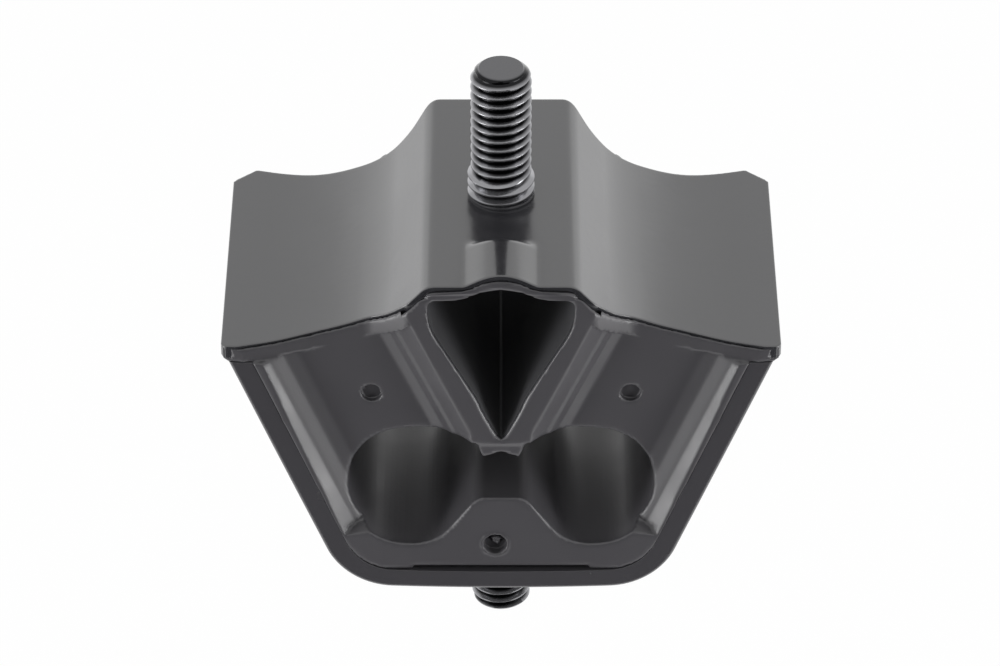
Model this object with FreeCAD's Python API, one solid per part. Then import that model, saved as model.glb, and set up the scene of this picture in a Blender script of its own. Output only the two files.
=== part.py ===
import FreeCAD, Part
import math
import os

from FreeCAD import Vector

# Engine mount of the bonded rubber kind, in millimetres.
# A bent steel wedge hangs under a winged top plate, and one rubber moulding carries it in a pressed pan.
# A stud stands up from the plate and another one hangs down from the pan.
# X runs across the wings, Y along the tunnel, and Z up.
# The origin is on the stud axis at the pan's underside.

# Top plate, measured on its upper face
plate_thickness = 2.5
plate_top_height = 65.5
plate_half_width = 49.3
plateau_half_flat = 11.5
shoulder_radius = 3.5
shoulder_angle = 48.0
shoulder_run = 7.2
cradle_inner_radius = 16.5
cradle_outer_radius = 49.2
cradle_outer_angle = 20.5

# The plate's front and back edges, seen from above
plateau_half_depth = 30.6
front_plateau_end = 16.4
back_plateau_end = 12.5
plateau_edge_rounding = 3.0
waist_half_depth = 25.1
front_waist_start = 23.2
back_waist_start = 17.0
waist_end = 33.0
waist_start_rounding = 5.0
waist_end_rounding = 30.0
tip_half_depth = 28.6
tip_width = 2.8
tip_rounding = 1.2
back_corner_cut_x = 4.1
back_corner_cut_y = 3.9

# Raised dart in the middle of the plate's front edge, with a closed back end
dart_half_width = 6.4
dart_height = 2.3
dart_length = 14.7
dart_end_length = 3.2

# Pan, measured on its outer face
pan_thickness = 4.0
pan_half_flat = 19.7
pan_corner_radius = 12.7
pan_side_lean = 22.4
pan_rim_clearance = 0.8
pan_half_depth = 31.8
pan_bow_radius = 380.0

# Wedge, measured on the faces of its tunnel, with its tip a set depth under the plate's top
wedge_thickness = 2.0
wedge_half_depth = 30.0
wedge_depth = 32.7
wedge_tip_radius = 0.4
wedge_lower_lean = 29.0
wedge_middle_lean = 21.5
wedge_upper_lean = 28.5
wedge_bend_radius = 20.0
wedge_lower_run = 3.4
wedge_middle_run = 2.4
wedge_upper_run = 13.4
wedge_top_radius = 12.0

# Rubber moulding
edge_skin = 0.6
bare_plate_edge = 0.9
bare_wing_edge = 0.4
wing_lap_start = 17.5
rubber_lip_step = 0.2
rubber_tip_step = 0.35
rubber_face_half_depth = 31.0
rubber_face_break_drop = 17.5
rubber_face_top_drop = 8.5
groove_half_width = 15.8
groove_height = 0.6
groove_depth = 1.3

# Round voids on both sides of the neck under the wedge
void_radius = 10.9
void_center_x = 16.5
void_center_height = 20.5
neck_half_width = 4.4
neck_rise = 0.7
neck_foot_half_width = 3.4
neck_foot_width = 0.6
neck_skin = 0.8
neck_arch_rise = 1.1
neck_step_depth = 0.4
neck_step_rise = 0.3
hump_height = 19.9
hump_half_width = 4.3
hump_foot = 11.8
hump_rounding = 3.6
hump_foot_rounding = 8.0

# Pockets that leave the legs thinner than the rims around them
# Their outline is drawn at the middle's depth, so at the bowed sides it may reach over the pan
pocket_depth = 5.3
pocket_rim_x = 4.85
pocket_rim_above_tip = 2.2
pocket_rim_lean = 24.4
pocket_pan_overreach = 0.8
pocket_rim_fade = 1.2
pocket_bottom = 10.5
pocket_end_x = 5.5
pocket_end_drop = 8.5
pocket_inner_draft = 8.8
pocket_outer_draft = 9.0
pocket_bottom_draft = 4.8

# Two changes of slope in the pocket walls, with a narrow step at the first one
pocket_crease_depth = 3.4
pocket_crease_inner_draft = 4.4
pocket_crease_outer_draft = 3.6
pocket_crease_bottom_draft = 2.0
pocket_step_depth = 0.1
pocket_step_inner_width = 0.5
pocket_step_outer_width = 0.3
pocket_bend_depth = 4.9
pocket_bend_inner_draft = 6.5
pocket_bend_outer_draft = 6.2
pocket_bend_bottom_draft = 3.4

# Marks of the mould in the front faces
pin_mark_x = 23.0
pin_mark_height = 39.3
pin_mark_radius = 1.8
pin_mark_depth = 1.1
gate_mark_x = -1.05
gate_mark_height = 9.7
gate_mark_radius = 2.1
gate_mark_depth = 1.5

# Studs
thread_radius = 5.555
end_chamfer = 1.3
upper_stud_length = 25.9
upper_neck_radius = 6.0
upper_neck_rise = 5.0
upper_head_radius = 8.0
upper_head_height = 2.5
lower_stud_length = 26.0
lower_neck_radius = 6.2
lower_head_radius = 10.0
lower_head_height = 4.5
hole_clearance = 0.05

# Reach of cutting shapes past the part, and the shortest edge worth drawing
beyond = 20.0
shortest_edge = 1e-6

parts_folder = "parts"
os.makedirs(parts_folder, exist_ok=True)


def in_section(x, z):
    """Point of a cross-section, which lies in the XZ plane."""
    return Vector(x, 0, z)


def in_plan(x, y):
    """Point of an outline seen from above."""
    return Vector(x, y, 0)


def line(begin, end):
    """Straight edge between two points."""
    return Part.LineSegment(begin, end).toShape()


def face_of(edges):
    """Flat face inside a closed run of edges."""
    return Part.Face(Part.Wire(edges))


def beside(x, z, heading, to_left):
    """Point at a distance to the left of a guide line that passes (x, z)."""
    return in_section(x - to_left * math.sin(heading), z + to_left * math.cos(heading))


def follow(start, steps, to_left=0.0):
    """Edges beside a guide line of straight runs and tangent bends, and where the guide line ends.

    A step is (length, 0) for a run, or (radius, turn in degrees) for a bend, with left turns positive.
    """
    x, z, heading = start
    edges = []
    for size, turn in steps:
        begin = beside(x, z, heading, to_left)
        if turn == 0:
            x += size * math.cos(heading)
            z += size * math.sin(heading)
            edges.append(line(begin, beside(x, z, heading, to_left)))
            continue
        radius = math.copysign(size, turn)
        center_x = x - radius * math.sin(heading)
        center_z = z + radius * math.cos(heading)
        middle_heading = heading + math.radians(turn) / 2
        heading += math.radians(turn)
        middle_x = center_x + radius * math.sin(middle_heading)
        middle_z = center_z - radius * math.cos(middle_heading)
        x = center_x + radius * math.sin(heading)
        z = center_z - radius * math.cos(heading)
        middle = beside(middle_x, middle_z, middle_heading, to_left)
        edges.append(Part.Arc(begin, middle, beside(x, z, heading, to_left)).toShape())
    return edges, (x, z, heading)


def first_point(edges):
    """Where a run of edges begins."""
    return edges[0].valueAt(edges[0].FirstParameter)


def last_point(edges):
    """Where a run of edges ends."""
    return edges[-1].valueAt(edges[-1].LastParameter)


def band(start, steps, near, far):
    """Face between two lines beside one guide line."""
    near_edges, _ = follow(start, steps, near)
    far_edges, _ = follow(start, steps, far)
    closing = line(last_point(near_edges), last_point(far_edges))
    opening = line(first_point(far_edges), first_point(near_edges))
    return face_of(near_edges + [closing] + far_edges[::-1] + [opening])


def region(start, steps, to_left, level):
    """Face between the middle plane, a line beside the guide line and a level."""
    edges, _ = follow(start, steps, to_left)
    begin = first_point(edges)
    end = last_point(edges)
    corner = in_section(end.x, level)
    middle = in_section(begin.x, level)
    return face_of(edges + [line(end, corner), line(corner, middle), line(middle, begin)])


def rounded_face(corners, place):
    """Face whose corners are (a, b, rounding radius), placed by a function of a and b."""
    count = len(corners)
    cuts = []
    for index in range(count):
        here = place(corners[index][0], corners[index][1])
        back = place(corners[index - 1][0], corners[index - 1][1])
        ahead = place(corners[(index + 1) % count][0], corners[(index + 1) % count][1])
        to_back = (back - here).normalize()
        to_ahead = (ahead - here).normalize()
        half_angle = to_back.getAngle(to_ahead) / 2
        radius = corners[index][2]
        cut = radius / math.tan(half_angle)
        inward = (to_back + to_ahead).normalize()
        middle = here + inward * (radius / math.sin(half_angle) - radius)
        cuts.append((here + to_back * cut, middle, here + to_ahead * cut, radius))
    edges = []
    for index in range(count):
        begin, middle, end, radius = cuts[index]
        if radius > 0:
            edges.append(Part.Arc(begin, middle, end).toShape())
        following = cuts[(index + 1) % count][0]
        if (following - end).Length > shortest_edge:
            edges.append(line(end, following))
    return face_of(edges)


def along_y(face, low, high):
    """Solid made from a face of the cross-section, from one depth to another."""
    moved = face.translated(Vector(0, low, 0))
    return moved.extrude(Vector(0, high - low, 0))


def both_sides(shape):
    """A right half joined with its mirror image across the middle plane."""
    return shape.fuse(shape.mirror(Vector(0, 0, 0), Vector(1, 0, 0))).removeSplitter()


def front_and_back(shape):
    """A front cutter together with its mirror image at the back."""
    return shape.fuse(shape.mirror(Vector(0, 0, 0), Vector(0, 1, 0)))


def disc(radius, low, height):
    """Round solid on the stud axis."""
    return Part.makeCylinder(radius, height, Vector(0, 0, low))


def plate_steps():
    """Upper face of the plate, from its middle out to the tip of a wing."""
    inner_turn = shoulder_angle - cradle_outer_angle
    steps = [
        (plateau_half_flat, 0),
        (shoulder_radius, -shoulder_angle),
        (shoulder_run, 0),
        (cradle_inner_radius, inner_turn),
        (cradle_outer_radius, cradle_outer_angle),
    ]
    _, (reached, _, _) = follow(plate_start, steps)
    return steps + [(plate_half_width - reached, 0)]


def pan_steps(height):
    """Outer face of the pan, from its middle up one side to a height."""
    turn = 90.0 - pan_side_lean
    steps = [(pan_half_flat, 0), (pan_corner_radius, turn)]
    _, (_, reached, _) = follow(pan_start, steps)
    return steps + [((height - reached) / math.cos(math.radians(pan_side_lean)), 0)]


def wedge_steps():
    """One face of the tunnel, from the tip of the wedge up past the plate."""
    return [
        (wedge_tip_radius, 90.0 - wedge_lower_lean),
        (wedge_lower_run, 0),
        (wedge_bend_radius, wedge_lower_lean - wedge_middle_lean),
        (wedge_middle_run, 0),
        (wedge_bend_radius, wedge_middle_lean - wedge_upper_lean),
        (wedge_upper_run, 0),
        (wedge_top_radius, wedge_upper_lean),
        (beyond, 0),
    ]


wedge_tip_height = plate_top_height - wedge_depth
neck_arch_height = wedge_tip_height - wedge_thickness - neck_skin
neck_foot_height = neck_arch_height - neck_arch_rise
rubber_face_break = plate_top_height - rubber_face_break_drop
rubber_face_top = plate_top_height - rubber_face_top_drop
leg_half_depth = rubber_face_half_depth - pocket_depth
tip_start = plate_half_width - tip_width
plate_start = (0.0, plate_top_height, 0.0)
pan_start = (0.0, 0.0, 0.0)
wedge_start = (0.0, wedge_tip_height, 0.0)
reach = pan_half_depth + beyond


def under_plate(depth_below_top):
    """Everything under a surface that lies a set distance below the plate's upper face."""
    return both_sides(along_y(region(plate_start, plate_steps(), -depth_below_top, -beyond), -reach, reach))


def plan_edge(offset, plateau_end, waist_start):
    """Corners of the plate's front or back edge on the right side, from the middle to the wing tip."""
    return [
        (0.0, plateau_half_depth + offset, 0.0),
        (plateau_end, plateau_half_depth + offset, plateau_edge_rounding),
        (waist_start, waist_half_depth + offset, waist_start_rounding),
        (waist_end, waist_half_depth + offset, waist_end_rounding),
        (tip_start, tip_half_depth + offset, 0.0),
    ]


def front_edge(offset):
    """Corners of the plate's front edge on the right side."""
    return [(x, -y, rounding) for x, y, rounding in plan_edge(offset, front_plateau_end, front_waist_start)]


def back_edge(offset):
    """Corners of the plate's back edge on the right side, up to the cut corner of the wing."""
    slope = (tip_half_depth - waist_half_depth) / (tip_start - waist_end)
    cut_start = plate_half_width - back_corner_cut_x
    cut_depth = waist_half_depth + offset + (cut_start - waist_end) * slope
    corners = plan_edge(offset, back_plateau_end, back_waist_start)[:-1]
    corners.append((cut_start, cut_depth, 0.0))
    corners.append((plate_half_width + offset, cut_depth - back_corner_cut_y, 0.0))
    return corners


def plate_plan(offset):
    """Outline of the right half of the plate, seen from above, grown by an offset."""
    corners = front_edge(offset) + [(plate_half_width + offset, -tip_half_depth - offset, tip_rounding)]
    return rounded_face(corners + back_edge(offset)[::-1], in_plan)


def over_plan(offset):
    """Everything over the outline of the plate, grown by an offset."""
    return both_sides(plate_plan(offset).extrude(Vector(0, 0, plate_top_height + beyond)))


def dart():
    """Half-round dart that ends in a steep slope behind the plate's front edge."""
    front = -plateau_half_depth - edge_skin - beyond
    fade = -plateau_half_depth + dart_length
    length = fade - dart_end_length - front
    left = Vector(-dart_half_width, front, plate_top_height)
    right = Vector(dart_half_width, front, plate_top_height)
    crown = Vector(0, front, plate_top_height + dart_height)
    outline = Part.Wire([Part.Arc(left, crown, right).toShape(), line(right, left)])
    bead = Part.Face(outline).extrude(Vector(0, length, 0))
    outline.translate(Vector(0, length, 0))
    apex = Part.Vertex(Vector(0, fade, plate_top_height))
    return bead.fuse(Part.makeLoft([outline, apex], True, True))


def plate_hole():
    """Hole in the top plate for the upper stud's neck."""
    return disc(upper_neck_radius + hole_clearance, plate_top_height - plate_thickness, beyond)


def pan_hole():
    """Hole in the pan for the lower stud's neck."""
    return disc(lower_neck_radius + hole_clearance, pan_thickness - beyond, beyond)


def make_top_plate():
    """Winged plate, pressed from one sheet, with the hole for the upper stud."""
    sheet = both_sides(along_y(band(plate_start, plate_steps(), 0, -plate_thickness), -reach, reach))
    raised = dart()
    sheet = sheet.fuse(raised)
    sheet = sheet.cut(raised.translated(Vector(0, 0, -plate_thickness)))
    return sheet.common(over_plan(0.0)).cut(plate_hole()).removeSplitter()


def make_wedge_bracket():
    """V-shaped bracket, welded under the plate at both ends of the V."""
    section = band(wedge_start, wedge_steps(), 0, -wedge_thickness)
    half = along_y(section, -wedge_half_depth, wedge_half_depth)
    return both_sides(half).common(under_plate(plate_thickness)).removeSplitter()


def bow(half_depth):
    """Block whose front and back faces bulge outwards in the middle."""
    block = Part.makeBox(4 * beyond + 2 * plate_half_width, 2 * half_depth, plate_top_height + 2 * beyond)
    block.translate(Vector(-2 * beyond - plate_half_width, -half_depth, -beyond))
    low = -beyond
    height = plate_top_height + 2 * beyond
    front = Part.makeCylinder(pan_bow_radius, height, Vector(0, pan_bow_radius - half_depth, low))
    back = Part.makeCylinder(pan_bow_radius, height, Vector(0, half_depth - pan_bow_radius, low))
    return block.common(front).common(back)


def wing_tip_height():
    """Height of the plate's lower face at the tip of a wing."""
    _, (_, tip_height, _) = follow(plate_start, plate_steps())
    return tip_height - plate_thickness


def pan_rim_height():
    """Height of the pan's outer rim, which stays clear of the wing tips."""
    return wing_tip_height() - pan_rim_clearance


def make_lower_pan():
    """Channel with leaning sides, pressed from one sheet, with the hole for the lower stud."""
    steps = pan_steps(pan_rim_height() + pan_thickness)
    channel = both_sides(along_y(band(pan_start, steps, 0, pan_thickness), -reach, reach))
    over_rims = disc(plate_half_width + beyond, pan_rim_height(), beyond)
    return channel.common(bow(pan_half_depth)).cut(over_rims).cut(pan_hole()).removeSplitter()


def face_wire(height, front, back):
    """Closed outline of the rubber at a height, from the corners of its front and back on the right."""
    right = [Vector(x, y, height) for x, y in front + back[::-1]]
    left = [Vector(-x, y, height) for x, y in back[1:] + front[:0:-1]]
    return Part.makePolygon(right + left + right[:1])


def plate_lap():
    """Space over a surface close under the plate, inside the plate's outline grown by the rubber's skin."""
    return over_plan(edge_skin).cut(under_plate(plate_thickness + edge_skin))


def beside_wings():
    """Space round the wing tips, over the pan's rims, which the rubber leaves free."""
    width = plate_half_width + beyond - waist_end
    corner = Vector(waist_end, -reach, pan_rim_height())
    block = Part.makeBox(width, 2 * reach, plate_top_height, corner)
    return both_sides(block).cut(over_plan(edge_skin))


def rubber_section():
    """Right half of the rubber's outside: up the pan's outer face and out to the tip of the wing."""
    edges, _ = follow(pan_start, pan_steps(pan_rim_height()))
    level = 2 * plate_top_height
    tip = in_section(plate_half_width - rubber_tip_step, wing_tip_height())
    corner = in_section(tip.x, level)
    middle = in_section(0.0, level)
    edges.append(line(last_point(edges), tip))
    return face_of(edges + [line(tip, corner), line(corner, middle), line(middle, first_point(edges))])


def rubber_face_limit():
    """Space between the rubber's front and back faces, which draw in towards the plate's edges."""
    side = plate_half_width + beyond
    front = [(x, y) for x, y, _ in front_edge(edge_skin)]
    front.append((side, front[-1][1]))
    back = [(x, y) for x, y, _ in plan_edge(edge_skin, back_plateau_end, back_waist_start)]
    back.append((side, back[-1][1]))
    straight_front = [(x, -rubber_face_half_depth) for x, _ in front]
    straight_back = [(x, rubber_face_half_depth) for x, _ in back]
    flat = face_wire(rubber_face_break, straight_front, straight_back)
    drawn = face_wire(rubber_face_top, front, back)
    lower = Part.Face(flat).extrude(Vector(0, 0, -rubber_face_break - beyond))
    middle = Part.makeLoft([flat, drawn], True, True)
    upper = Part.Face(drawn).extrude(Vector(0, 0, plate_top_height + beyond - rubber_face_top))
    return lower.fuse([middle, upper])


def tunnel():
    """Three-sided space inside the wedge, under the plate."""
    inside = along_y(region(wedge_start, wedge_steps(), 0, 2 * plate_top_height), -reach, reach)
    return both_sides(inside)


def voids():
    """Two round voids through the rubber, joined by the neck between the wedge and the hump."""
    top = void_center_height + void_radius
    bottom = void_center_height - void_radius
    outer = void_center_x + void_radius
    corners = [
        (0.0, hump_height, 0.0),
        (0.0, neck_arch_height, 0.0),
        (neck_foot_half_width - neck_foot_width, neck_foot_height, 0.0),
        (neck_foot_half_width, neck_foot_height, 0.0),
        (neck_half_width, top + neck_rise, 0.0),
        (outer, top, void_radius),
        (outer, bottom, void_radius),
        (hump_foot, bottom, hump_foot_rounding),
        (hump_half_width, hump_height, hump_rounding),
    ]
    return both_sides(along_y(rounded_face(corners, in_section), -reach, reach))


def pocket_ring(depth, inner_draft, outer_draft, bottom_draft):
    """Outline of the right leg's front pocket at a depth under the face."""
    top = plate_top_height
    lean = math.tan(math.radians(pan_side_lean))
    rim_lean = math.tan(math.radians(pocket_rim_lean))
    rim_height = wedge_tip_height + pocket_rim_above_tip
    low = rim_height - depth * pocket_rim_fade
    _, (side_x, side_z, _) = follow(pan_start, pan_steps(top))
    inner_side_x = side_x - side_z * lean - pan_thickness / math.cos(math.radians(pan_side_lean))
    wall = inner_side_x + pocket_pan_overreach - outer_draft
    bottom = pocket_bottom + bottom_draft
    rim = pocket_rim_x + inner_draft
    low_rim = rim + (low - rim_height) * rim_lean
    corners = [
        (rim + (top - rim_height) * rim_lean, top),
        (wall + top * lean, top),
        (wall + bottom * lean, bottom),
        (void_center_x + pocket_end_x, void_center_height - pocket_end_drop + bottom_draft),
        (low_rim, void_center_height),
        (low_rim, low),
    ]
    y = depth - rubber_face_half_depth - edge_skin
    ring = [Vector(x, y, z) for x, z in corners]
    return Part.makePolygon(ring + ring[:1])


def pockets():
    """Pockets in both legs, front and back, whose walls lean less towards the floor."""
    floor_depth = pocket_depth + edge_skin
    rings = [
        pocket_ring(0.0, 0.0, 0.0, 0.0),
        pocket_ring(pocket_crease_depth, pocket_crease_inner_draft,
                    pocket_crease_outer_draft, pocket_crease_bottom_draft),
        pocket_ring(pocket_crease_depth + pocket_step_depth,
                    pocket_crease_inner_draft + pocket_step_inner_width,
                    pocket_crease_outer_draft + pocket_step_outer_width,
                    pocket_crease_bottom_draft + pocket_step_outer_width),
        pocket_ring(pocket_bend_depth, pocket_bend_inner_draft,
                    pocket_bend_outer_draft, pocket_bend_bottom_draft),
        pocket_ring(floor_depth, pocket_inner_draft, pocket_outer_draft, pocket_bottom_draft),
    ]
    return both_sides(front_and_back(Part.makeLoft(rings, True, True))).cut(plate_lap())


def mark(x, height, radius, face_y, depth):
    """Blind round mark sunk in a front face."""
    return Part.makeCylinder(radius, depth + beyond, Vector(x, face_y - beyond, height), Vector(0, 1, 0))


def mould_marks():
    """Two locating pin marks in the legs and the gate mark below the neck."""
    pins = [mark(x, pin_mark_height, pin_mark_radius, -leg_half_depth, pin_mark_depth)
            for x in (-pin_mark_x, pin_mark_x)]
    gate = mark(gate_mark_x, gate_mark_height, gate_mark_radius, -rubber_face_half_depth, gate_mark_depth)
    return pins[0].fuse([pins[1], gate])


def neck_step():
    """Step that sets the skin under the wedge back from the rim around it."""
    top = void_center_height + void_radius + neck_step_rise
    stepped_face = neck_step_depth - rubber_face_half_depth
    corner = Vector(-2 * neck_half_width, stepped_face - beyond, void_center_height)
    block = Part.makeBox(4 * neck_half_width, beyond, top - void_center_height, corner)
    return front_and_back(block)


def wing_lap():
    """Space under the wings where the rubber laps higher over the plate's edges."""
    wings = disc(plate_half_width + beyond, -beyond, 2 * plate_top_height)
    corner = Vector(-wing_lap_start, -reach, -reach)
    middle = Part.makeBox(2 * wing_lap_start, 2 * reach, 4 * plate_top_height, corner)
    return under_plate(bare_wing_edge).common(wings.cut(middle))


def pan_groove():
    """Shallow groove between the rubber's face and the pan's floor."""
    strip = band(pan_start, [(groove_half_width, 0)], pan_thickness, pan_thickness + groove_height)
    cutter = along_y(strip, -reach, -rubber_face_half_depth + groove_depth)
    return both_sides(front_and_back(cutter))


def make_rubber_body(plate, wedge, pan, lower_stud):
    """Single moulding that fills the pan around the wedge and laps over the edges of the metal."""
    body = both_sides(along_y(rubber_section(), -reach, reach))
    body = body.common(bow(pan_half_depth - rubber_lip_step))
    body = body.common(rubber_face_limit().fuse(plate_lap())).cut(beside_wings())
    lip_dart = dart().translated(Vector(0, 0, -bare_plate_edge))
    body = body.common(under_plate(bare_plate_edge).fuse([lip_dart, wing_lap()]))
    tunnel_roof = under_plate(plate_thickness).fuse(dart().translated(Vector(0, 0, -plate_thickness)))
    body = body.cut(tunnel().common(tunnel_roof))
    for hollow in (voids(), neck_step(), pockets(), mould_marks(), pan_groove(), plate_hole(), pan_hole()):
        body = body.cut(hollow)
    for metal in (plate, wedge, pan, lower_stud):
        body = body.cut(metal)
    return body.removeSplitter()


def threaded_end(base, tip):
    """Threaded length at its outside diameter, with a chamfer at the free end."""
    direction = math.copysign(1.0, tip - base)
    axis = Vector(0, 0, direction)
    straight = abs(tip - base) - end_chamfer
    shaft = Part.makeCylinder(thread_radius, straight, Vector(0, 0, base), axis)
    chamfer_base = Vector(0, 0, base + direction * straight)
    chamfer = Part.makeCone(thread_radius, thread_radius - end_chamfer, end_chamfer, chamfer_base, axis)
    return shaft.fuse(chamfer)


def make_upper_stud():
    """Headed stud pushed up through the plate, with a plain neck under its thread."""
    under = plate_top_height - plate_thickness
    neck_top = plate_top_height + upper_neck_rise
    stud = threaded_end(neck_top, plate_top_height + upper_stud_length)
    neck = disc(upper_neck_radius, under, neck_top - under)
    head = disc(upper_head_radius, under - upper_head_height, upper_head_height)
    return stud.fuse([neck, head]).removeSplitter()


def make_lower_stud():
    """Headed stud pushed down through the pan, with its head in the rubber."""
    stud = threaded_end(0.0, -lower_stud_length)
    neck = disc(lower_neck_radius, 0.0, pan_thickness)
    head = disc(lower_head_radius, pan_thickness, lower_head_height)
    return stud.fuse([neck, head]).removeSplitter()


top_plate = make_top_plate()
wedge_bracket = make_wedge_bracket()
lower_pan = make_lower_pan()
upper_stud = make_upper_stud()
lower_stud = make_lower_stud()
rubber_body = make_rubber_body(top_plate, wedge_bracket, lower_pan, lower_stud)

nodes = {
    "top_plate": top_plate,
    "wedge_bracket": wedge_bracket,
    "rubber_body": rubber_body,
    "lower_pan": lower_pan,
    "upper_stud": upper_stud,
    "lower_stud": lower_stud,
}
for name, shape in nodes.items():
    shape.exportStep(os.path.join(parts_folder, name + ".step"))
    print(name, len(shape.Solids), shape.isValid(), round(shape.Volume, 1), shape.BoundBox)
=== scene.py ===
import math

import bmesh
import bpy
from mathutils import Euler, Matrix, Vector, noise


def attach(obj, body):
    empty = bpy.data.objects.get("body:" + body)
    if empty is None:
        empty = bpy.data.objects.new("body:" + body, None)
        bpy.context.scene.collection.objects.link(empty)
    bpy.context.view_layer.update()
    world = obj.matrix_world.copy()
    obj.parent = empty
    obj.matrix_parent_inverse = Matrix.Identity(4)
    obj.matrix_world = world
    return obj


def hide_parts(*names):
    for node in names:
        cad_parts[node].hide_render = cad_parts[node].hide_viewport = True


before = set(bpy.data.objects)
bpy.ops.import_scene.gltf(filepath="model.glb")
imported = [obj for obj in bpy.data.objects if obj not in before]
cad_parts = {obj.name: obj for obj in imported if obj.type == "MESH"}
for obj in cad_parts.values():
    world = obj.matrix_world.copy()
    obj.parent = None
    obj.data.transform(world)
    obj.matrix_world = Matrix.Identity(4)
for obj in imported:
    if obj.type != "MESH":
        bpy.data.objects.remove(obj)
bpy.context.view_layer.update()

# Stage: a white room and floor, with the mount held so high that its shadow falls out of the picture, seen
# from 35 degrees over its front through a long lens. Soft boxes low at both sides and behind draw the bands,
# a black flag in front keeps round faces dark, and two fill lights lift the front but aren't mirrored in it.
mm = 0.001
camera_aim = Vector((-0.18 * mm, 0.0, 34.4 * mm))
camera_distance = 912.0 * mm
camera_pitch = math.radians(35.0)
camera_lens = 180.0
camera_sensor = 36.0
camera_clip = (0.05, 20.0)
floor_drop = 270.0 * mm
floor_half_size = 4.0
floor_glow = 0.98
white = "#ffffff"
floor_white = "#e6e6e6"
room_light = 0.62
low_box = {"at": (0.38, -0.11, -0.04), "size": (0.22, 0.14), "watts": 0.5}
back_box = {"at": (0.40, 0.62, 0.10), "size": (0.60, 0.60), "watts": 0.46}
fill_box = {"at": (0.50, -0.32, -0.12), "size": (0.24, 0.20), "watts": 2.1}
boxes_aim = Vector((0.0, 0.0, 30.0 * mm))
flag_black = "#0a0a0a"
flag_corners = [(-0.26, -0.20), (0.26, -0.20), (0.55, -0.75), (-0.55, -0.75)]
flag_over_floor = 2.0 * mm
flag_rise = (0.0, -0.35, 1.1)


def linear(hex_color):
    """Linear RGBA of an sRGB hex colour."""
    channels = [int(hex_color[at:at + 2], 16) / 255 for at in (1, 3, 5)]
    return [c / 12.92 if c <= 0.04045 else ((c + 0.055) / 1.055) ** 2.4 for c in channels] + [1.0]


def add(tree, kind, inputs, **settings):
    """A shader node with its settings, and with its inputs given as values or as sockets to link."""
    node = tree.nodes.new(kind)
    for name, value in settings.items():
        setattr(node, name, value)
    for name, value in inputs.items():
        if isinstance(value, bpy.types.NodeSocket):
            tree.links.new(value, node.inputs[name])
        else:
            node.inputs[name].default_value = value
    return node


def new_tree(owner):
    """The empty node tree of a material or world."""
    owner.use_nodes = True
    owner.node_tree.nodes.clear()
    return owner.node_tree


def seen_directly(tree):
    """1 on rays from the camera and in mirror images, and 0 where light is gathered."""
    path = add(tree, "ShaderNodeLightPath", {})
    both = add(tree, "ShaderNodeMath", {0: path.outputs["Is Camera Ray"], 1: path.outputs["Is Glossy Ray"]},
               operation="MAXIMUM")
    return add(tree, "ShaderNodeMath", {0: both.outputs[0], 1: path.outputs["Is Transmission Ray"]},
               operation="MAXIMUM").outputs[0]


def light_room():
    """White room that lights the part evenly."""
    world = bpy.data.worlds.new("white_room")
    bpy.context.scene.world = world
    tree = new_tree(world)
    strength = add(tree, "ShaderNodeMapRange",
                   {"Value": seen_directly(tree), "To Min": room_light, "To Max": 1.0})
    room = add(tree, "ShaderNodeBackground", {"Color": linear(white), "Strength": strength.outputs["Result"]})
    add(tree, "ShaderNodeOutputWorld", {"Surface": room.outputs[0]})


def lay_floor():
    """Wide pale floor, which shows white to the camera and in mirror images, and sends soft light up."""
    bm = bmesh.new()
    bmesh.ops.create_grid(bm, x_segments=1, y_segments=1, size=floor_half_size)
    bmesh.ops.translate(bm, verts=bm.verts, vec=(0, 0, -floor_drop))
    mesh = bpy.data.meshes.new("floor")
    bm.to_mesh(mesh)
    bm.free()
    floor = bpy.data.objects.new("floor", mesh)
    bpy.context.scene.collection.objects.link(floor)
    material = bpy.data.materials.new("matt_white_sweep")
    tree = new_tree(material)
    paper = add(tree, "ShaderNodeBsdfDiffuse", {"Color": linear(floor_white)})
    glow = add(tree, "ShaderNodeEmission", {"Color": linear(white), "Strength": 1.0})
    share = add(tree, "ShaderNodeMath", {0: seen_directly(tree), 1: floor_glow}, operation="MULTIPLY")
    mix = add(tree, "ShaderNodeMixShader", {0: share.outputs[0], 1: paper.outputs[0], 2: glow.outputs[0]})
    add(tree, "ShaderNodeOutputMaterial", {"Surface": mix.outputs[0]})
    mesh.materials.append(material)


def stand_soft_box(name, side, spec):
    """Soft box beside the part, facing it."""
    light = bpy.data.lights.new(name, "AREA")
    light.shape = "RECTANGLE"
    light.size, light.size_y = spec["size"]
    light.energy = spec["watts"]
    box = bpy.data.objects.new(name, light)
    bpy.context.scene.collection.objects.link(box)
    across, along, up = spec["at"]
    box.location = (side * across, along, up)
    toward = boxes_aim - box.location
    box.rotation_euler = toward.to_track_quat("-Z", "Y").to_euler()
    box.visible_camera = False
    return box


def hang_flag():
    """Black flag in front of the part: it lies on the floor and rises behind the camera."""
    bm = bmesh.new()
    height = flag_over_floor - floor_drop
    near_left, near_right, far_right, far_left = [bm.verts.new((x, y, height)) for x, y in flag_corners]
    bm.faces.new((near_left, near_right, far_right, far_left))
    edge = bm.edges.get((far_right, far_left))
    made = bmesh.ops.extrude_edge_only(bm, edges=[edge])["geom"]
    raised = [item for item in made if isinstance(item, bmesh.types.BMVert)]
    bmesh.ops.translate(bm, verts=raised, vec=flag_rise)
    mesh = bpy.data.meshes.new("front_flag")
    bm.to_mesh(mesh)
    bm.free()
    flag = bpy.data.objects.new("front_flag", mesh)
    bpy.context.scene.collection.objects.link(flag)
    material = bpy.data.materials.new("black_flag_cloth")
    tree = new_tree(material)
    cloth = add(tree, "ShaderNodeBsdfDiffuse", {"Color": linear(flag_black)})
    add(tree, "ShaderNodeOutputMaterial", {"Surface": cloth.outputs[0]})
    mesh.materials.append(material)
    flag.visible_camera = False


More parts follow.
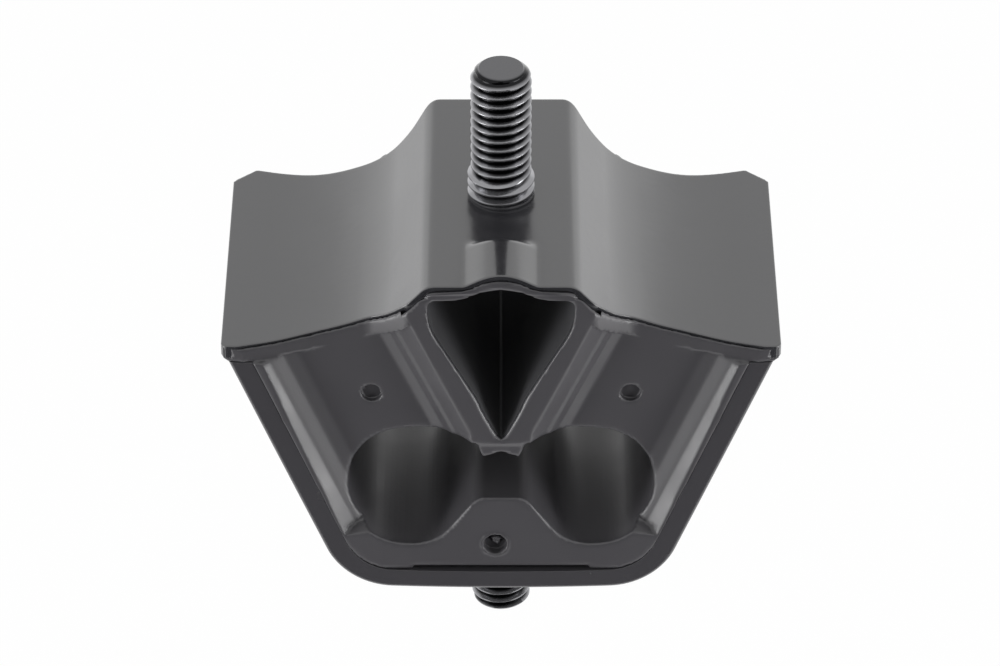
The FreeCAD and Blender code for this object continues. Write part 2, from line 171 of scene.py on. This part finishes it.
def place_camera():
    """Long lens at the photograph's viewing angle."""
    data = bpy.data.cameras.new("camera")
    data.lens = camera_lens
    data.sensor_width = camera_sensor
    data.clip_start, data.clip_end = camera_clip
    camera = bpy.data.objects.new("camera", data)
    bpy.context.scene.collection.objects.link(camera)
    back = Vector((0, -math.cos(camera_pitch), math.sin(camera_pitch)))
    camera.location = camera_aim + back * camera_distance
    camera.rotation_euler = Euler((math.radians(90.0) - camera_pitch, 0, 0))
    bpy.context.scene.camera = camera


bpy.context.scene.view_settings.view_transform = "Standard"
light_room()
lay_floor()
hang_flag()
for side_name, side in (("left", -1), ("right", 1)):
    stand_soft_box(side_name + "_low_box", side, low_box)
    stand_soft_box(side_name + "_back_box", side, back_box)
    stand_soft_box(side_name + "_fill", side, fill_box).visible_glossy = False
place_camera()

# Top plate: 2.5 mm sheet steel, pressed into two wings, a raised flat middle and a dart in its front edge.
# It is painted with black semi-gloss enamel, which rounds every edge and mirrors the white room softly.
plate_thickness = 2.5 * mm
plate_top = 65.5
plate_half_width = 49.3
plate_bends = [(11.5, 0.0), (3.5, -48.0), (7.2, 0.0), (16.5, 27.5), (49.2, 20.5)]
profile_spacing = 0.45
plate_rows = 96
plateau_half_depth = 30.6
plateau_edge_rounding = 3.0
front_plateau_end = 16.4
back_plateau_end = 12.5
waist_half_depth = 25.1
front_waist_start = 23.2
back_waist_start = 17.0
waist_start_rounding = 5.0
waist_end = 33.0
waist_end_rounding = 30.0
front_tip_corners = [(46.5, 28.6, 0.0), (plate_half_width, 28.6, 1.2), (plate_half_width, 27.4, 0.0)]
back_tip_corners = [(45.2, 28.26, 0.4), (plate_half_width, 24.36, 0.0)]
dart_half_width = 6.6 * mm
dart_height = 2.3 * mm
dart_length = 14.7 * mm
dart_end_length = 3.2 * mm
dart_fullness = 1.3
sharp_edge = math.radians(50.0)
noise_low = 0.35
noise_high = 0.65
paint_rounding = 0.45 * mm
paint_black = "#343437"


def piece_from(bm, name):
    """New object from a bmesh, with smooth faces."""
    for face in bm.faces:
        face.smooth = True
    mesh = bpy.data.meshes.new(name)
    bm.to_mesh(mesh)
    bm.free()
    piece = bpy.data.objects.new(name, mesh)
    bpy.context.scene.collection.objects.link(piece)
    return piece


def bent_line(start, bends, spacing):
    """Points along straight runs (length, 0) and tangent bends (radius, turn in degrees), in mm."""
    x, z = start
    heading = 0.0
    points = [(x, z)]
    for size, turn in bends:
        length = size if turn == 0 else size * abs(math.radians(turn))
        count = max(1, math.ceil(length / spacing))
        for _ in range(count):
            step = math.radians(turn) / count
            chord = length / count if turn == 0 else 2 * size * math.sin(abs(step) / 2)
            x += chord * math.cos(heading + step / 2)
            z += chord * math.sin(heading + step / 2)
            heading += step
            points.append((x, z))
    return points


def rounded_line(corners, spacing_degrees=6.0):
    """Points along a line whose corners (x, y, radius) are rounded."""
    points = []
    for at, (x, y, radius) in enumerate(corners):
        if radius == 0 or at in (0, len(corners) - 1):
            points.append((x, y))
            continue
        here = Vector((x, y))
        back = (Vector(corners[at - 1][:2]) - here).normalized()
        ahead = (Vector(corners[at + 1][:2]) - here).normalized()
        half = back.angle(ahead) / 2
        cut = radius / math.tan(half)
        center = here + (back + ahead).normalized() * (radius / math.sin(half))
        begin = here + back * cut - center
        turn = math.pi - 2 * half
        end = here + ahead * cut - center
        sign = 1 if begin.x * end.y > begin.y * end.x else -1
        count = max(2, math.ceil(math.degrees(turn) / spacing_degrees))
        for step in range(count + 1):
            angle = sign * turn * step / count
            arm = Matrix.Rotation(angle, 2) @ begin
            points.append((center.x + arm.x, center.y + arm.y))
    return points


def height_on(points, x):
    """Second coordinate of a line of points at a first coordinate."""
    for (x0, y0), (x1, y1) in zip(points, points[1:]):
        if x <= x1:
            return y0 + (y1 - y0) * (x - x0) / max(x1 - x0, 1e-9)
    return points[-1][1]


def smooth_step(value):
    """0 below 0, 1 above 1, with a soft rise between."""
    value = min(max(value, 0.0), 1.0)
    return value * value * (3 - 2 * value)


def pressed_sheet(half_profile, front, back, rows):
    """Thin sheet bent to a profile that runs along y, cut to a front and a back line."""
    profile = [(-x, z) for x, z in half_profile[:0:-1]] + half_profile
    bm = bmesh.new()
    verts = [bm.verts.new((x * mm, 0.0, z * mm)) for x, z in profile]
    edges = [bm.edges.new(pair) for pair in zip(verts, verts[1:])]
    for _ in range(rows):
        made = bmesh.ops.extrude_edge_only(bm, edges=edges)["geom"]
        edges = [item for item in made if isinstance(item, bmesh.types.BMEdge)]
        row = [item for item in made if isinstance(item, bmesh.types.BMVert)]
        bmesh.ops.translate(bm, verts=row, vec=(0, 1.0 / rows, 0))
    for vert in bm.verts:
        across = abs(vert.co.x)
        vert.co.y = -front(across) + (front(across) + back(across)) * vert.co.y
    bmesh.ops.recalc_face_normals(bm, faces=bm.faces)
    if sum(face.normal.z for face in bm.faces) < 0:
        bmesh.ops.reverse_faces(bm, faces=bm.faces)
    return bm


def thicken(bm, thickness):
    """Wall behind a sheet's faces, as a closed shell; gives back the verts of the faces it started from."""
    first_verts = bm.verts[:]
    bmesh.ops.solidify(bm, geom=bm.faces, thickness=thickness)
    bmesh.ops.recalc_face_normals(bm, faces=bm.faces)
    return first_verts


def finish_edges(piece, width, segments=3, angle=sharp_edge):
    """Rounds a piece's edges sharper than an angle and evens its shading."""
    rounding = piece.modifiers.new("rounded_edges", "BEVEL")
    rounding.width = width
    rounding.segments = segments
    rounding.limit_method = "ANGLE"
    rounding.angle_limit = angle
    rounding.profile = 0.5
    even = piece.modifiers.new("even_shading", "WEIGHTED_NORMAL")
    even.keep_sharp = True


def plate_edge(plateau_end, waist_start, tip_corners):
    """Half depth of the plate along its front or back edge, as points from the middle to the wing tip."""
    return rounded_line([
        (0.0, plateau_half_depth, 0.0),
        (plateau_end, plateau_half_depth, plateau_edge_rounding),
        (waist_start, waist_half_depth, waist_start_rounding),
        (waist_end, waist_half_depth, waist_end_rounding),
    ] + tip_corners)


def dart_rise(x, y):
    """Height of the half-round dart over the flat of the plate; its back end is closed and steep."""
    across = min(abs(x) / dart_half_width, 1.0)
    from_back_end = dart_length - plateau_half_depth * mm - y
    crown = (1 - across ** 2) ** dart_fullness
    return dart_height * crown * smooth_step(from_back_end / dart_end_length)


def thin_coat(name, base, peel_height, roughness, ior):
    """Thin coat on sheet steel: it mirrors the room softly, with a faint orange peel and duller patches."""
    material = bpy.data.materials.new(name)
    tree = new_tree(material)
    place = add(tree, "ShaderNodeTexCoord", {}).outputs["Object"]
    peel_size = 1.6 * mm
    peel = add(tree, "ShaderNodeTexNoise", {"Vector": place, "Scale": 1 / peel_size, "Detail": 2.0})
    cloud_size = 14 * mm
    cloud = add(tree, "ShaderNodeTexNoise", {"Vector": place, "Scale": 1 / cloud_size, "Detail": 4.0})
    gloss = add(tree, "ShaderNodeMapRange",
                {"Value": cloud.outputs["Fac"], "From Min": noise_low, "From Max": noise_high,
                 "To Min": roughness[0], "To Max": roughness[1]})
    bump = add(tree, "ShaderNodeBump",
               {"Height": peel.outputs["Fac"], "Distance": peel_height, "Strength": 0.5})
    skin = add(tree, "ShaderNodeBsdfPrincipled",
               {"Base Color": linear(base), "IOR": ior, "Roughness": gloss.outputs["Result"],
                "Normal": bump.outputs["Normal"]})
    add(tree, "ShaderNodeOutputMaterial", {"Surface": skin.outputs[0]})
    return material


reached = bent_line((0.0, plate_top), plate_bends, profile_spacing)[-1][0]
last_run = [(plate_half_width - reached, 0.0)]
plate_profile = bent_line((0.0, plate_top), plate_bends + last_run, profile_spacing)
front_line = plate_edge(front_plateau_end, front_waist_start, front_tip_corners)
back_line = plate_edge(back_plateau_end, back_waist_start, back_tip_corners)
plate_bm = pressed_sheet(plate_profile, lambda x: height_on(front_line, x / mm) * mm,
                         lambda x: height_on(back_line, x / mm) * mm, plate_rows)
for vert in plate_bm.verts:
    vert.co.z += dart_rise(vert.co.x, vert.co.y)
thicken(plate_bm, plate_thickness)
top_plate = piece_from(plate_bm, "painted_top_plate")
finish_edges(top_plate, paint_rounding)
top_plate.data.materials.append(thin_coat("black_enamel_on_plate", paint_black, peel_height=0.02 * mm,
                                          roughness=(0.16, 0.22), ior=1.9))
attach(top_plate, "root")
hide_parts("top_plate")

# Wedge bracket: a V of 2 mm sheet steel, welded under the plate, whose inner faces line the tunnel.
# It keeps its solid; its phosphate coat is a dull dark grey without a shine, so the tunnel goes black inside.
phosphate_grey = "#454547"
wedge_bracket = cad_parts["wedge_bracket"]
wedge_bracket.data.materials.clear()
wedge_bracket.data.materials.append(thin_coat("dull_phosphate_coat_in_tunnel", phosphate_grey,
                                              peel_height=0.02 * mm, roughness=(0.6, 0.7), ior=1.25))

# Lower pan: 4 mm sheet steel, folded up into two leaning sides, with bowed front and back edges.
# The press rounds the outer edge of its cut, and a slightly duller coat of the black enamel covers it.
pan_bends = [(19.7, 0.0), (12.7, 67.6)]
pan_rim = 48.16 * mm
pan_lean = 22.4
pan_side_run = 46.0
pan_thickness = 4.0 * mm
pan_half_depth = 31.8
pan_bow_radius = 380.0
pan_spacing = 0.9
pan_rows = 32
pan_outer_rounding = 1.5 * mm
pan_outer_segments = 5
pan_inner_rounding = 0.3 * mm
pan_black = "#403f42"


def pan_half_depth_at(x):
    """Half depth of the pan, whose edges bow, at a distance from the middle."""
    across = x / mm
    return (pan_half_depth - pan_bow_radius + math.sqrt(pan_bow_radius ** 2 - across ** 2)) * mm


def round_rim(bm, verts, width, segments):
    """Rounds the sharp edges that run between the given verts."""
    chosen = set(verts)
    rim = [edge for edge in bm.edges
           if chosen.issuperset(edge.verts) and edge.calc_face_angle(0.0) > sharp_edge]
    bmesh.ops.bevel(bm, geom=rim, offset=width, offset_type="OFFSET", affect="EDGES", segments=segments,
                    profile=0.5, material=-1, clamp_overlap=True)


def cut_whole(bm, point, normal, clear_outer):
    """Cuts the whole mesh along a plane, and takes away what lies beyond it where that is asked for."""
    bmesh.ops.bisect_plane(bm, geom=bm.verts[:] + bm.edges[:] + bm.faces[:], plane_co=point, plane_no=normal,
                           clear_outer=clear_outer)


def close_cuts(bm):
    """Closes the open ends that cuts have left."""
    bmesh.ops.holes_fill(bm, edges=[edge for edge in bm.edges if edge.is_boundary], sides=0)
    bmesh.ops.recalc_face_normals(bm, faces=bm.faces)


pan_profile = bent_line((0.0, 0.0), pan_bends + [(pan_side_run, 0.0)], pan_spacing)
pan_bm = pressed_sheet(pan_profile, pan_half_depth_at, pan_half_depth_at, pan_rows)
bmesh.ops.reverse_faces(pan_bm, faces=pan_bm.faces)
outer_verts = thicken(pan_bm, pan_thickness)
round_rim(pan_bm, outer_verts, pan_outer_rounding, pan_outer_segments)
cut_whole(pan_bm, (0, 0, pan_rim), (0, 0, 1), True)
close_cuts(pan_bm)
lower_pan = piece_from(pan_bm, "painted_lower_pan")
finish_edges(lower_pan, pan_inner_rounding)
lower_pan.data.materials.append(thin_coat("black_enamel_on_pan", pan_black, peel_height=0.03 * mm,
                                          roughness=(0.2, 0.28), ior=1.7))
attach(lower_pan, "root")
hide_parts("lower_pan")

# Rubber body: one moulding of black natural rubber, bonded to the plate, the bracket and the pan.
# It leaves the mould satin, with soft edges at every rim and a faint bloom.
fine_depth = 24.0 * mm
face_depth = 32.0 * mm
lattice = 0.7 * mm
lattice_levels = (3.0 * mm, 67.0 * mm)
lattice_across = (-12.0 * mm, 50.0 * mm)
flat_angle = math.radians(0.4)
seam_weld = 1e-6
cut_slack = 0.01 * mm
smoothing_rounds = 3
gate_center = (-1.05 * mm, 9.7 * mm)
gate_radius = 2.1 * mm
gate_face = -30.9 * mm
gate_lip = 0.3 * mm
gate_lattice = 0.3 * mm
gate_steps = 12
gate_tear_size = 0.9 * mm
nub_place = (0.2 * mm, 1.4 * mm, 0.4 * mm)
nub_radius = 0.95 * mm
nub_roughness = 0.35 * mm
nub_tear_size = 0.45 * mm
rubber_black = "#474649"


def cut_lines(bm, faces, point, normal):
    """Cuts the given faces along a plane and gives back the faces with the new ones."""
    edges = {edge for face in faces for edge in face.edges}
    verts = {vert for face in faces for vert in face.verts}
    made = bmesh.ops.bisect_plane(bm, geom=list(verts) + list(edges) + list(faces), plane_co=point,
                                  plane_no=normal, dist=1e-7)
    return [item for item in made["geom"] if isinstance(item, bmesh.types.BMFace)]


def gate_distance(point):
    """Distance of a point from the gate mark's axis."""
    return math.hypot(point.x - gate_center[0], point.z - gate_center[1])


def cut_round_gate(bm):
    """Cuts the face finely round the gate mark."""
    faces = [f for f in bm.faces if f.calc_center_median().y < gate_face / 2
             and gate_distance(f.calc_center_median()) < 2 * gate_radius]
    for step in range(-gate_steps, gate_steps + 1):
        faces = cut_lines(bm, faces, (gate_center[0] + step * gate_lattice, 0, 0), (1, 0, 0))
        faces = cut_lines(bm, faces, (0, 0, gate_center[1] + step * gate_lattice), (0, 0, 1))


def tear_gate(bm):
    """Raises a torn lip round the gate mark and leaves a torn nub in it."""
    for vert in bm.verts:
        from_lip = abs(gate_distance(vert.co) - gate_radius - gate_lattice) / (2 * gate_lattice)
        if vert.co.y < gate_face + gate_lip and from_lip < 1:
            ragged = 0.7 + 0.6 * noise.noise(vert.co / gate_tear_size)
            vert.co.y -= gate_lip * ragged * (1 - smooth_step(from_lip))
    right, inward, up = nub_place
    place = Matrix.Translation((gate_center[0] + right, gate_face + inward, gate_center[1] + up))
    made = bmesh.ops.create_icosphere(bm, subdivisions=4, radius=nub_radius, matrix=place)
    for vert in made["verts"]:
        vert.co += vert.normal * nub_roughness * noise.noise(vert.co / nub_tear_size)


def softened_rubber():
    """Copy of the rubber's solid, cut finely at its front and back and eased over its edges."""
    bm = bmesh.new()
    bm.from_mesh(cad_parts["rubber_body"].data)
    bmesh.ops.remove_doubles(bm, verts=bm.verts, dist=seam_weld)
    bmesh.ops.dissolve_limit(bm, angle_limit=flat_angle, verts=bm.verts, edges=bm.edges)
    for end in (-1, 1):
        depth = fine_depth
        while depth < face_depth:
            cut_lines(bm, bm.faces[:], (0, end * depth, 0), (0, 1, 0))
            depth += lattice
    cut_lines(bm, bm.faces[:], (0, 0, 0), (1, 0, 0))
    lean_cos, lean_sin = math.cos(math.radians(pan_lean)), math.sin(math.radians(pan_lean))
    for end in (-1, 1):
        for side in (-1, 1):
            faces = [f for f in bm.faces if f.calc_center_median().x * side > 0
                     and f.calc_center_median().y * end > fine_depth - cut_slack]
            level, highest = lattice_levels
            while level < highest:
                faces = cut_lines(bm, faces, (0, 0, level), (0, 0, 1))
                level += lattice
            across, outermost = lattice_across
            while across < outermost:
                faces = cut_lines(bm, faces, (side * across, 0, 0), (lean_cos, 0, -side * lean_sin))
                across += lattice
    cut_round_gate(bm)
    moving = [vert for vert in bm.verts if abs(vert.co.y) > fine_depth + lattice]
    for _ in range(smoothing_rounds):
        bmesh.ops.smooth_vert(bm, verts=moving, factor=0.5, use_axis_x=True, use_axis_y=True, use_axis_z=True)
    tear_gate(bm)
    return bm


def moulded_rubber(name, base):
    """Black moulded rubber: satin, a little uneven, with a fine grain from the mould."""
    material = bpy.data.materials.new(name)
    tree = new_tree(material)
    place = add(tree, "ShaderNodeTexCoord", {}).outputs["Object"]
    grain_size = 0.7 * mm
    grain = add(tree, "ShaderNodeTexNoise", {"Vector": place, "Scale": 1 / grain_size, "Detail": 3.0})
    cloud_size = 9 * mm
    cloud = add(tree, "ShaderNodeTexNoise", {"Vector": place, "Scale": 1 / cloud_size, "Detail": 4.0})
    gloss = add(tree, "ShaderNodeMapRange",
                {"Value": cloud.outputs["Fac"], "From Min": noise_low, "From Max": noise_high,
                 "To Min": 0.3, "To Max": 0.38})
    bump = add(tree, "ShaderNodeBump",
               {"Height": grain.outputs["Fac"], "Distance": 0.02 * mm, "Strength": 0.5})
    skin = add(tree, "ShaderNodeBsdfPrincipled",
               {"Base Color": linear(base), "IOR": 1.6, "Roughness": gloss.outputs["Result"],
                "Normal": bump.outputs["Normal"]})
    add(tree, "ShaderNodeOutputMaterial", {"Surface": skin.outputs[0]})
    return material


rubber_body = piece_from(softened_rubber(), "moulded_rubber_body")
rubber_body.data.materials.append(moulded_rubber("black_moulded_rubber", rubber_black))
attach(rubber_body, "root")
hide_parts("rubber_body")

# Studs: rolled threads, 1.814 mm from crest to crest, on dark oiled steel, with chamfered free ends.
# The upper stud's thread swells to a slightly wider root over the plate. Painted shade darkens the thread's
# roots and a painted highlight lightens its crests, so it looks striped.
pitch = 1.814
thread_radius = 5.42
thread_depth = 1.02
crest_flat = 0.24
root_flat = 0.34
chamfer_rings = 6
chamfer_fullness = 1.3
collar_radius = 5.99
collar_top = 69.6
collar_fade = 0.4
turn_steps = 72
thread_weld = 0.002 * mm
core_radius = 1.0
stud_edge_rounding = 0.06 * mm
stud_sharp_edge = math.radians(35.0)
upper_thread = (65.6, 91.4)
upper_chamfer = (1.6, 1.5)
upper_neck_and_head = [(5.98, 63.0, 65.7), (8.0, 60.5, 63.0)]
lower_thread = (-26.0, 1.0)
lower_chamfer = (1.0, 0.9)
lower_neck_and_head = [(6.2, 0.0, 4.0), (10.0, 4.0, 8.5)]
end_face_grey = "#656567"
root_painted_shade = "#1c1c1e"
crest_painted_highlight = "#98989b"


def thread_profile(low, high):
    """Radius and height of one side of the thread, from well under its low end to well over its high end."""
    flank = (pitch - crest_flat - root_flat) / 2
    points = []
    start = low - 2 * pitch
    while start < high + 2 * pitch:
        points.append((thread_radius - thread_depth, start))
        points.append((thread_radius - thread_depth, start + root_flat))
        points.append((thread_radius, start + root_flat + flank))
        points.append((thread_radius, start + root_flat + flank + crest_flat))
        start += pitch
    return points


def threaded_rod(low, high, free_end, chamfer_length):
    """Closed rod with a helical thread, cut square at both ends, with extra rings at its free end."""
    bm = bmesh.new()
    verts = [bm.verts.new((r * mm, 0, z * mm)) for r, z in thread_profile(low, high)]
    edges = [bm.edges.new(pair) for pair in zip(verts, verts[1:])]
    bmesh.ops.spin(bm, geom=verts + edges, cent=(0, 0, 0), axis=(0, 0, 1), angle=2 * math.pi,
                   dvec=(0, 0, pitch * mm / turn_steps), steps=turn_steps, use_merge=False)
    bmesh.ops.remove_doubles(bm, verts=bm.verts, dist=thread_weld)
    inward = 1 if free_end < low + pitch else -1
    for ring in range(1, chamfer_rings + 1):
        level = free_end + inward * chamfer_length * ring / chamfer_rings
        cut_whole(bm, (0, 0, level * mm), (0, 0, 1), False)
    for level, outward in ((low, -1), (high, 1)):
        cut_whole(bm, (0, 0, level * mm), (0, 0, outward), True)
    close_cuts(bm)
    return bm


def make_stud(name, thread, free_end, chamfer, collar, solids):
    """Threaded rod with a rounded chamfer at its free end, and its neck and head as plain round solids.

    A thread is (low, high), a chamfer is (length, width), and a round solid is (radius, base, top).
    """
    chamfer_length, chamfer_width = chamfer
    bm = threaded_rod(*thread, free_end, chamfer_length)
    for vert in bm.verts:
        radius = math.hypot(vert.co.x, vert.co.y) / mm
        if radius < core_radius:
            continue
        left = max(0.0, 1 - abs(free_end - vert.co.z / mm) / chamfer_length)
        wanted = min(radius, thread_radius - chamfer_width * left ** chamfer_fullness)
        swell = 1 - smooth_step((vert.co.z / mm - collar_top) / collar_fade) if collar else 0.0
        wanted *= 1 + swell * (collar_radius / thread_radius - 1)
        vert.co.x *= wanted / radius
        vert.co.y *= wanted / radius
    for across, base, top in solids:
        place = Matrix.Translation((0, 0, (base + top) / 2 * mm))
        bmesh.ops.create_cone(bm, cap_ends=True, segments=turn_steps, radius1=across * mm, radius2=across * mm,
                              depth=(top - base) * mm, matrix=place)
    return piece_from(bm, name)


def steel_with_painted_thread_light(name, end_face, root, crest):
    """Dark phosphated steel, with painted shade in the thread's roots and a painted highlight on its crests.
    """
    material = bpy.data.materials.new(name)
    tree = new_tree(material)
    place = add(tree, "ShaderNodeTexCoord", {}).outputs["Object"]
    grit_size = 0.5 * mm
    grit = add(tree, "ShaderNodeTexNoise", {"Vector": place, "Scale": 1 / grit_size, "Detail": 4.0})
    gloss = add(tree, "ShaderNodeMapRange",
                {"Value": grit.outputs["Fac"], "From Min": 0.3, "From Max": 0.7,
                 "To Min": 0.14, "To Max": 0.24})
    bump = add(tree, "ShaderNodeBump", {"Height": grit.outputs["Fac"], "Distance": 0.01 * mm, "Strength": 0.5})
    across = add(tree, "ShaderNodeVectorMath", {0: place, 1: (1.0, 1.0, 0.0)}, operation="MULTIPLY")
    radius = add(tree, "ShaderNodeVectorMath", {0: across.outputs[0]}, operation="LENGTH").outputs["Value"]
    # Painted shade and highlight by radius: the end face keeps the steel's grey, the thread's roots get a
    # darker colour, and its crests get a lighter one.
    root_radius = thread_radius - thread_depth
    root_shade_mask = add(tree, "ShaderNodeMapRange",
                      {"Value": radius,
                       "From Min": (root_radius - 0.4) * mm, "From Max": (root_radius - 0.2) * mm})
    crest_highlight_mask = add(tree, "ShaderNodeMapRange",
                   {"Value": radius,
                    "From Min": (root_radius + 0.4) * mm, "From Max": (thread_radius - 0.1) * mm})
    root_shaded = add(tree, "ShaderNodeMix", {0: root_shade_mask.outputs["Result"], 6: linear(end_face), 7: linear(root)},
               data_type="RGBA")
    color = add(tree, "ShaderNodeMix", {0: crest_highlight_mask.outputs["Result"], 6: root_shaded.outputs[2], 7: linear(crest)},
                data_type="RGBA")
    skin = add(tree, "ShaderNodeBsdfPrincipled",
               {"Base Color": color.outputs[2], "Metallic": 0.8, "Roughness": gloss.outputs["Result"],
                "Normal": bump.outputs["Normal"]})
    add(tree, "ShaderNodeOutputMaterial", {"Surface": skin.outputs[0]})
    return material


stud_steel = steel_with_painted_thread_light("dark_steel_with_painted_thread_light", end_face_grey, root_painted_shade, crest_painted_highlight)
upper_stud = make_stud("threaded_upper_stud", upper_thread, upper_thread[1], upper_chamfer, True,
                       upper_neck_and_head)
lower_stud = make_stud("threaded_lower_stud", lower_thread, lower_thread[0], lower_chamfer, False,
                       lower_neck_and_head)
for stud, node in ((upper_stud, "upper_stud"), (lower_stud, "lower_stud")):
    finish_edges(stud, stud_edge_rounding, segments=2, angle=stud_sharp_edge)
    stud.data.materials.append(stud_steel)
    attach(stud, "root")
    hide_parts(node)
